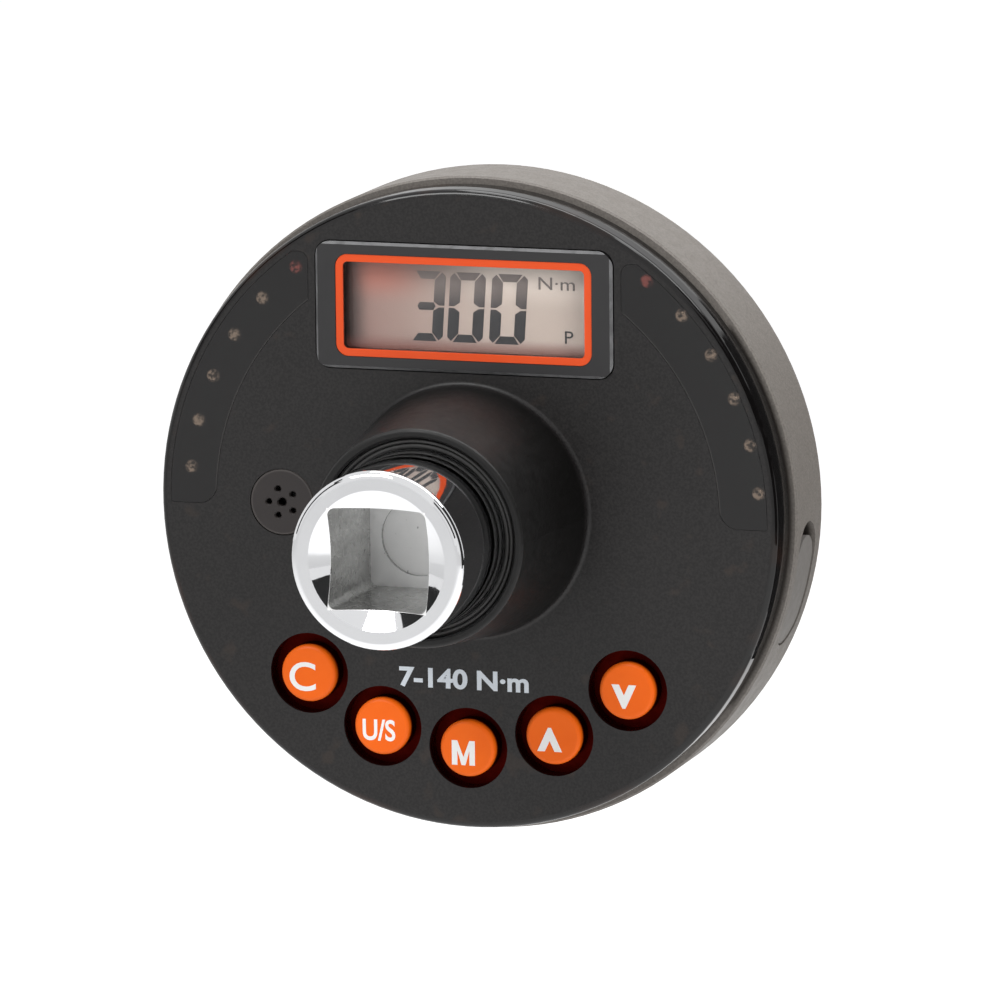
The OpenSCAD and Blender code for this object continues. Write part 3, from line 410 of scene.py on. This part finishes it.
def lcd():
    """Liquid crystal panel: a painted shadow of its frame at its left, reddish at its upper left, and painted
    light at its upper right.
    """
    paint = Paint("lcd")
    x, _, z = paint.xyz()
    across = paint.between(x, PANEL_ACROSS, 0.0, 1.0)
    colour = paint.mix(across, (0.215, 0.125, 0.105), (0.40, 0.330, 0.285))
    upper = paint.between(z, PANEL_UPPER, 0.0, 1.0)
    red = paint.product(upper, paint.between(x, PANEL_RED, 1.0, 0.0))
    colour = paint.mix(red, colour, (0.40, 0.125, 0.085))
    # Painted light at the upper right, against the shadow of the frame
    pale_painted_light = paint.product(upper, paint.between(x, PANEL_PALE, 0.0, 1.0))
    colour = paint.mix(pale_painted_light, colour, (0.66, 0.575, 0.510))
    # Painted shadow of the frame along the left edge
    colour = paint.mix(paint.between(x, PANEL_SHADOW, 0.95, 0.0), colour, (0.022, 0.010, 0.009))
    colour = paint.mix(paint.between(z, PANEL_FOOT, 0.75, 0.0), colour, (0.16, 0.05, 0.04))
    grain = paint.product(paint.noise(scale=2600, detail=2), 0.12)
    colour = paint.mix(grain, colour, (0.30, 0.27, 0.24))
    rough = paint.wander(0.3, 0.4, scale=900, detail=2)
    return paint.finish(paint.principled(base_color=colour, roughness=rough))


def sounder_disc():
    """Smoked plastic disc with a painted highlight round its edge."""
    low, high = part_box("sounder_grille")
    middle = [(low[i] + high[i]) / 2 for i in range(3)]
    edge = (high[0] - low[0]) / 2 / MM
    paint = Paint("sounder_disc")
    x, _, z = paint.xyz()
    away = paint.length(paint.math("SUBTRACT", x, middle[0]), paint.math("SUBTRACT", z, middle[2]))
    colour = paint.mix(paint.noise(scale=180), (0.022, 0.0178, 0.0172), (0.034, 0.0285, 0.0274))
    # Painted highlight: a lighter ring round the edge
    light = paint.between(away, [edge - inset for inset in DISC_EDGE], 0.0, 0.8)
    colour = paint.mix(light, colour, (0.085, 0.076, 0.072))
    rough = paint.wander(0.40, 0.50, scale=720, detail=3)
    normal = paint.bump(paint.noise(scale=2600, detail=3), 0.00001)
    return paint.finish(paint.principled(
        base_color=colour, roughness=rough, normal=normal, specular_ior_level=0.36))


PAINTS = {
    "smoked_cover": smoked_cover(),
    "housing_plastic": housing_plastic(),
    "chromed_steel": chrome(),
    "black_plastic": plastic("black_plastic", (0.014, 0.014, 0.014), (0.022, 0.022, 0.022), 0.4, 0.55),
    "black_rubber": plastic("black_rubber", (0.020, 0.0195, 0.019), (0.030, 0.029, 0.028), 0.55, 0.7,
                            grain=1800, height=0.00002),
    "bezel_plastic": bezel(),
    "orange_plastic": tone_with_painted_shade_behind("orange_plastic", FRAME_DEPTH, (0.82, 0.085, 0.018), (0.88, 0.105, 0.024),
                               (0.02, 0.006, 0.004), 0.32, 0.42),
    "clear_lens": clear_lens(),
    "lcd": lcd(),
    "smoked_window": smoked_window(),
    "red_lamp": lamp("red_lamp", (0.9, 0.22, 0.18), 0.9),
    "amber_lamp": lamp("amber_lamp", (0.95, 0.70, 0.52), 0.95),
    "foam": plastic("foam", (0.05, 0.05, 0.055), (0.07, 0.07, 0.075), 0.85, 0.95, grain=900, height=0.0001),
    "circuit_board": plastic("circuit_board", (0.012, 0.09, 0.035), (0.02, 0.14, 0.06), 0.3, 0.4),
    "foil": metal("foil", (0.6, 0.36, 0.12), (0.75, 0.5, 0.2), 0.3, 0.4),
    "screw_steel": metal("screw_steel", (0.42, 0.42, 0.43), (0.55, 0.55, 0.56), 0.25, 0.36),
    "cell_jacket": plastic("cell_jacket", (0.08, 0.09, 0.11), (0.11, 0.12, 0.14), 0.25, 0.35),
    "contact_metal": metal("contact_metal", (0.58, 0.55, 0.48), (0.7, 0.66, 0.58), 0.25, 0.35),
    "orange_rubber": tone_with_painted_shade_behind("orange_rubber", KEY_DEPTH, (0.92, 0.130, 0.004), (1.0, 0.165, 0.008),
                              (0.045, 0.0020, 0.0010), 0.40, 0.50),
}
for node, slot in slot_of.items():
    slots = nodes[node].data.materials
    slots.clear()
    slots.append(PAINTS[slot])
nodes["sounder_grille"].data.materials[0] = sounder_disc()
nodes["port_cover"].data.materials[0] = plastic("port_rubber", (0.150, 0.140, 0.131), (0.185, 0.173, 0.162),
                                                0.5, 0.62, grain=3000, height=0.00002)
face_print = plastic("face_print", (0.66, 0.71, 0.77), (0.74, 0.79, 0.84), 0.4, 0.5)
key_print = plastic("key_print", (0.93, 0.92, 0.90), (0.98, 0.97, 0.96), 0.4, 0.5)


# Pieces made here
def mesh_piece(name, mesh, body, material):
    piece = bpy.data.objects.new(name, mesh)
    scene.collection.objects.link(piece)
    mesh.materials.clear()
    mesh.materials.append(material)
    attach(piece, body)
    return piece


def mesh_from(build, name, smooth):
    """A mesh from a finished bmesh, its faces turned outwards."""
    bmesh.ops.recalc_face_normals(build, faces=build.faces)
    mesh = bpy.data.meshes.new(name)
    build.to_mesh(mesh)
    build.free()
    if smooth:
        mesh.shade_smooth()
        mesh.set_sharp_from_angle(angle=SHARP_ANGLE)
    return mesh


def join_rings(build, one, two):
    """Faces between two rings of as many points."""
    for i in range(len(one)):
        j = (i + 1) % len(one)
        build.faces.new((one[i], one[j], two[j], two[i]))


def turned(profile, steps):
    """A ring about the drive axis from a closed outline of radius and depth, in millimetres."""
    build = bmesh.new()
    rings = []
    for k in range(steps):
        turn = 2 * math.pi * k / steps
        points = [(r * math.cos(turn) * MM, y * MM, r * math.sin(turn) * MM) for r, y in profile]
        rings.append([build.verts.new(point) for point in points])
    for k in range(steps):
        join_rings(build, rings[k], rings[(k + 1) % steps])
    return mesh_from(build, "turned", smooth=True)


# Shaft seal, in millimetres: two rounded ridges stand on its front
SEAL_INNER = 11.35
SEAL_OUTER = 12.75
SEAL_BACK = 19.2
SEAL_GROOVE = 16.7
SEAL_RIDGES = ((SEAL_INNER + 0.40, 16.2), (SEAL_OUTER - 0.40, 16.0))
RIDGE_HALF = 0.27
RIDGE_STEPS = 8
RIDGE_POWER = 0.7
SEAL_STEPS = 144


def seal_outline():
    outline = [(SEAL_INNER, SEAL_BACK), (SEAL_INNER, SEAL_GROOVE)]
    for middle, top in SEAL_RIDGES:
        for k in range(RIDGE_STEPS + 1):
            turn = math.pi * (1 - k / RIDGE_STEPS)
            rise = (SEAL_GROOVE - top) * math.sin(turn) ** RIDGE_POWER
            outline.append((middle + RIDGE_HALF * math.cos(turn), SEAL_GROOVE - rise))
    return outline + [(SEAL_OUTER, SEAL_GROOVE), (SEAL_OUTER, SEAL_BACK)]


seal_mesh = turned(seal_outline(), SEAL_STEPS)
seal = mesh_piece("seal_ring", seal_mesh, "body", PAINTS["black_rubber"])
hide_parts("shaft_seal")

# Detent spring: wire in millimetres, then turns, points in a turn and points round the wire
SPRING_WIRE = 0.45
SPRING_TURNS = 5
TURN_STEPS = 24
WIRE_SIDES = 10


def coil(low, high):
    """A coil spring along Z that fills a box, with its ends flat across the wire."""
    middle_x, middle_y = ((low[i] + high[i]) / 2 for i in range(2))
    wire_r = SPRING_WIRE * MM / 2
    reach = (high[0] - low[0]) / 2 - wire_r
    rise = high[2] - low[2] - 2 * wire_r
    steps = SPRING_TURNS * TURN_STEPS
    build = bmesh.new()
    rings = []
    for k in range(steps + 1):
        turn = 2 * math.pi * k / TURN_STEPS
        z = low[2] + wire_r + rise * k / steps
        ring = []
        for side in range(WIRE_SIDES):
            roll = 2 * math.pi * side / WIRE_SIDES
            r = reach + wire_r * math.cos(roll)
            x = middle_x + r * math.cos(turn)
            y = middle_y + r * math.sin(turn)
            ring.append(build.verts.new((x, y, z + wire_r * math.sin(roll))))
        rings.append(ring)
    for one, two in zip(rings, rings[1:]):
        join_rings(build, one, two)
    build.faces.new(rings[0][::-1])
    build.faces.new(rings[-1])
    return mesh_from(build, "coil", smooth=True)


spring_low, spring_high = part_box("detent_spring")
spring_slot = slot_of["detent_spring"]
spring = mesh_piece("ball_spring", coil(spring_low, spring_high), "body", PAINTS[spring_slot])
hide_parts("detent_spring")
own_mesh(spring)


# Printed marks and the reading on the display
def plates(outlines, front, back):
    """Thin plates with outlines in X and Z, between two depths, in millimetres."""
    build = bmesh.new()
    for outline in outlines:
        rings = [[build.verts.new((x * MM, y * MM, z * MM)) for x, z in outline] for y in (front, back)]
        build.faces.new(rings[0])
        build.faces.new(rings[1][::-1])
        join_rings(build, rings[1], rings[0])
    return mesh_from(build, "plates", smooth=False)


# Print thickness and how far it is sunk, in millimetres
PRINT_T = 0.05
PRINT_SINK = 0.01
# Text curves: thickness before fitting, steps in a curve, and the distance in metres at which points join
CURVE_EXTRUDE = 0.01
CURVE_STEPS = 6
JOIN_DISTANCE = 1e-7


def lettering(words, centre, size, front, weight=0.0):
    """Words as thin solids that face -Y, fitted to a width and height in millimetres."""
    curve = bpy.data.curves.new("words", "FONT")
    curve.body = words
    curve.extrude = CURVE_EXTRUDE
    curve.offset = weight
    curve.resolution_u = CURVE_STEPS
    source = bpy.data.objects.new("words", curve)
    scene.collection.objects.link(source)
    bpy.context.view_layer.update()
    mesh = bpy.data.meshes.new_from_object(source.evaluated_get(bpy.context.evaluated_depsgraph_get()))
    bpy.data.objects.remove(source)
    bpy.data.curves.remove(curve)
    low = [min(vertex.co[i] for vertex in mesh.vertices) for i in range(3)]
    high = [max(vertex.co[i] for vertex in mesh.vertices) for i in range(3)]
    for vertex in mesh.vertices:
        across, along, out = ((vertex.co[i] - low[i]) / (high[i] - low[i]) for i in range(3))
        x = centre[0] + (across - 0.5) * size[0]
        z = centre[1] + (along - 0.5) * size[1]
        vertex.co = Vector((x, front + (1 - out) * PRINT_T, z)) * MM
    build = bmesh.new()
    build.from_mesh(mesh)
    bmesh.ops.remove_doubles(build, verts=build.verts, dist=JOIN_DISTANCE)
    bmesh.ops.recalc_face_normals(build, faces=build.faces)
    build.to_mesh(mesh)
    build.free()
    return mesh


def chevron(centre, size, stroke, tip, up):
    """Outline of an arrow head, whose tip is cut flat."""
    half_width, half_height = size[0] / 2, size[1] / 2
    half_tip = tip / 2
    inner = half_width - stroke
    notch = inner * 2 * half_height / (half_width - half_tip) - half_height
    points = [(-half_width, -half_height), (-inner, -half_height), (0, notch), (inner, -half_height),
              (half_width, -half_height), (half_tip, half_height), (-half_tip, half_height)]
    return [(centre[0] + x, centre[1] + (z if up else -z)) for x, z in points]


# Letter M, in strokes: depth of its valley, depth of its inner corners, and half the width of its foot
M_VALLEY = 2.9
M_CORNER = 1.75
M_FOOT = 0.36


def letter_m(centre, size, stroke):
    """Outline of a letter M."""
    half_width, half_height = size[0] / 2, size[1] / 2
    inner = half_width - stroke
    right = [(inner, half_height), (half_width, half_height), (half_width, -half_height),
             (inner, -half_height), (inner, half_height - M_CORNER * stroke), (stroke * M_FOOT, -half_height)]
    left = [(-x, z) for x, z in right[::-1]]
    outline = [(0, half_height - M_VALLEY * stroke)] + right + left
    return [(centre[0] + x, centre[1] + z) for x, z in outline]


# Words on a key: its name, the words, their middle, their size and their weight
KEY_WORDS = (
    ("clear", "C", (-22.15, -22.55), (3.55, 3.8), 0.012),
    ("units", "U/S", (-11.87, -29.0), (4.4, 2.8), 0.02),
)
# Outlines on a key: sizes in millimetres
KEY_OUTLINES = (
    ("memory", letter_m((-0.5, -31.35), (3.1, 3.2), stroke=0.74)),
    ("up", chevron((11.09, -28.97), (3.3, 3.1), stroke=1.0, tip=0.4, up=True)),
    ("down", chevron((21.04, -22.84), (3.3, 3.1), stroke=1.0, tip=0.4, up=False)),
)
KEY_PRINT_BACK = KEY_TOP_Y + PRINT_SINK
for key, words, centre, size, weight in KEY_WORDS:
    mark = lettering(words, centre, size, KEY_PRINT_BACK - PRINT_T, weight)
    mesh_piece("mark_" + key, mark, key + "_key", key_print)
for key, outline in KEY_OUTLINES:
    mark = plates([outline], KEY_PRINT_BACK - PRINT_T, KEY_PRINT_BACK)
    mesh_piece("mark_" + key, mark, key + "_key", key_print)

FACE_PRINT_FRONT = FACE_Y - PRINT_T + PRINT_SINK
legend = lettering("7-140 N\u00b7m", (-0.5, -21.9), (17.4, 2.65), FACE_PRINT_FRONT, weight=0.03)
mesh_piece("mark_range", legend, "body", face_print)

# Digits, in millimetres: their size, lean and foot, the widths of upright and level bars,
# the gap between bars, and the cut of their corners
DIGIT_W = 4.75
DIGIT_H = 9.0
DIGIT_LEAN = 0.6
DIGIT_LOW = 21.4
BAR_SIDE = 1.45
BAR_LEVEL = 1.0
BAR_GAP = 0.12
BAR_CUT = BAR_SIDE * 0.45
# Parts of these at which the corners of the bars lie
CORNER_IN = BAR_CUT * 0.8
MIDDLE_IN = BAR_SIDE * 0.8
POINT_IN = BAR_SIDE * 0.5
# Left edge and lit bars of each digit
DIGITS = ((-8.35, "abcdg"), (-3.0, "abcdef"), (2.6, "abcdef"))


def seven_segments(left, lit):
    """Outlines of the lit bars of one digit."""
    mid = DIGIT_H / 2
    half = BAR_LEVEL / 2
    inner = DIGIT_W - BAR_SIDE
    upper = DIGIT_H - BAR_LEVEL
    start = BAR_GAP + BAR_CUT
    upright = [(0, mid + BAR_GAP), (0, DIGIT_H - BAR_CUT), (CORNER_IN, DIGIT_H - BAR_GAP),
               (BAR_SIDE, upper - BAR_GAP), (BAR_SIDE, mid + half + BAR_GAP), (POINT_IN, mid + BAR_GAP)]
    bars = {
        "a": [(start, DIGIT_H), (DIGIT_W - start, DIGIT_H), (inner, upper), (BAR_SIDE, upper)],
        "b": [(DIGIT_W - x, z) for x, z in upright],
        "c": [(DIGIT_W - x, DIGIT_H - z) for x, z in upright],
        "d": [(BAR_SIDE, BAR_LEVEL), (inner, BAR_LEVEL), (DIGIT_W - start, 0), (start, 0)],
        "e": [(x, DIGIT_H - z) for x, z in upright],
        "f": upright,
        "g": [(MIDDLE_IN, mid), (BAR_SIDE, mid + half), (inner, mid + half), (DIGIT_W - MIDDLE_IN, mid),
              (inner, mid - half), (BAR_SIDE, mid - half)],
    }
    return [[(left + x + DIGIT_LEAN * z / DIGIT_H, DIGIT_LOW + z) for x, z in bars[name]] for name in lit]


def segment_ink():
    """Dark ink that fades towards the top of the display."""
    paint = Paint("segment_ink")
    fade = paint.between(paint.xyz()[2], INK_FADE, 0.0, 1.0)
    colour = paint.mix(fade, (0.006, 0.006, 0.008), (0.16, 0.13, 0.12))
    grain = paint.product(paint.noise(scale=1500, detail=2), 0.06)
    colour = paint.mix(grain, colour, (0.2, 0.18, 0.17))
    return paint.finish(paint.principled(base_color=colour, roughness=0.35))


# The ink stands this far in front of the panel, in millimetres
INK_GAP = 0.01
INK_BACK = LCD_Y - INK_GAP
INK_FRONT = INK_BACK - PRINT_T
ink = segment_ink()
digits = []
for left, lit in DIGITS:
    digits += seven_segments(left, lit)
mesh_piece("display_digits", plates(digits, INK_FRONT, INK_BACK), "body", ink)
mesh_piece("display_unit", lettering("N\u00b7m", (11.7, 29.4), (4.8, 1.6), INK_FRONT), "body", ink)
mesh_piece("display_peak", lettering("P", (13.3, 22.6), (1.1, 1.6), INK_FRONT), "body", ink)

# Studio: floor, white background, soft lights and dark cards, in metres
FLOOR_SIZE = 12.0
FLOOR_Z = -0.30
FLOOR_GLOW_SEEN = 0.74
FLOOR_GLOW_MIRRORED = 0.52
WORLD_LIGHT = 0.28
WORLD_SEEN = 1.0
AIM = Vector((0, FACE_Y * MM, 0))
# Lights: name, place, size, power in watts, and whether shiny surfaces mirror them
LIGHTS = (
    ("key", (-0.36, -0.66, 0.83), 0.5, 6.6, True),
    ("fill", (0.95, -0.65, 0.35), 0.6, 5.6, False),
    ("top", (0.50, 0.26, 0.90), 0.6, 5.4, True),
    ("back", (-0.10, 0.27, 0.95), 0.5, 4.0, True),
)
# Cards that only shiny surfaces mirror: name, direction, distance, width and height
CARDS = (
    ("card_back", (0.56, 0.83, -0.06), 0.5, 0.42, 0.42),
    ("card_front", (0.54, -0.77, 0.30), 1.0, 0.42, 0.40),
    ("card_left", (-0.80, -0.43, 0.36), 1.0, 0.38, 0.80),
    ("card_right", (0.88, -0.12, 0.28), 1.0, 0.90, 1.40),
)
CARD_HIDDEN_FROM = ("camera", "diffuse", "transmission", "shadow", "volume_scatter")


def flat_piece(name, width, height, z, material):
    """A level rectangle about the Z axis."""
    half_width, half_height = width / 2, height / 2
    corners = [(-half_width, -half_height, z), (half_width, -half_height, z),
               (half_width, half_height, z), (-half_width, half_height, z)]
    mesh = bpy.data.meshes.new(name)
    mesh.from_pydata(corners, [], [(0, 1, 2, 3)])
    mesh.materials.append(material)
    piece = bpy.data.objects.new(name, mesh)
    scene.collection.objects.link(piece)
    return piece


def lay_floor():
    paint = Paint("floor")
    tone = paint.mix(paint.noise(scale=6, detail=3), (0.80, 0.80, 0.80), (0.82, 0.82, 0.82))
    path = paint.add("LightPath").outputs
    mirrored = paint.math("MAXIMUM", path["Is Glossy Ray"], path["Is Transmission Ray"])
    seen = paint.product(path["Is Camera Ray"], FLOOR_GLOW_SEEN)
    seen = paint.math("ADD", seen, paint.product(mirrored, FLOOR_GLOW_MIRRORED))
    lit = paint.principled(base_color=tone, roughness=0.8)
    glow = paint.add("Emission", {"Color": (1, 1, 1, 1), "Strength": seen})
    material = paint.finish(paint.add("AddShader", {0: lit.outputs[0], 1: glow.outputs[0]}))
    floor = flat_piece("floor", FLOOR_SIZE, FLOOR_SIZE, FLOOR_Z, material)


def light_world():
    """White where it is seen or mirrored, and a soft light elsewhere."""
    world = bpy.data.worlds.new("studio")
    scene.world = world
    world.use_nodes = True
    tree = world.node_tree
    tree.nodes.clear()
    path = tree.nodes.new("ShaderNodeLightPath").outputs
    seen = path["Is Camera Ray"]
    for name in ("Is Glossy Ray", "Is Transmission Ray"):
        either = tree.nodes.new("ShaderNodeMath")
        either.operation = "MAXIMUM"
        tree.links.new(seen, either.inputs[0])
        tree.links.new(path[name], either.inputs[1])
        seen = either.outputs[0]
    level = tree.nodes.new("ShaderNodeMapRange")
    level.inputs["To Min"].default_value = WORLD_LIGHT
    level.inputs["To Max"].default_value = WORLD_SEEN
    tree.links.new(seen, level.inputs["Value"])
    sky = tree.nodes.new("ShaderNodeBackground")
    tree.links.new(level.outputs[0], sky.inputs["Strength"])
    sky.inputs["Color"].default_value = (1, 1, 1, 1)
    out = tree.nodes.new("ShaderNodeOutputWorld")
    tree.links.new(sky.outputs[0], out.inputs["Surface"])


def place_lights():
    for name, place, size, power, mirrored in LIGHTS:
        data = bpy.data.lights.new(name, "AREA")
        data.energy = power
        data.size = size
        light = bpy.data.objects.new(name, data)
        scene.collection.objects.link(light)
        light.location = place
        light.rotation_euler = (AIM - Vector(place)).to_track_quat("-Z", "Y").to_euler()
        light.visible_glossy = mirrored


def place_cards():
    paint = Paint("card")
    tone = paint.mix(paint.noise(scale=4, detail=2), (0.012, 0.012, 0.012), (0.018, 0.018, 0.018))
    material = paint.finish(paint.principled(base_color=tone, roughness=0.9))
    for name, direction, away, width, height in CARDS:
        towards = Vector(direction).normalized()
        card = flat_piece(name, width, height, 0, material)
        card.location = AIM + towards * away
        card.rotation_euler = (-towards).to_track_quat("Z", "Y").to_euler()
        for ray in CARD_HIDDEN_FROM:
            setattr(card, "visible_" + ray, False)


lay_floor()
light_world()
place_lights()
place_cards()
scene.view_settings.view_transform = "Standard"
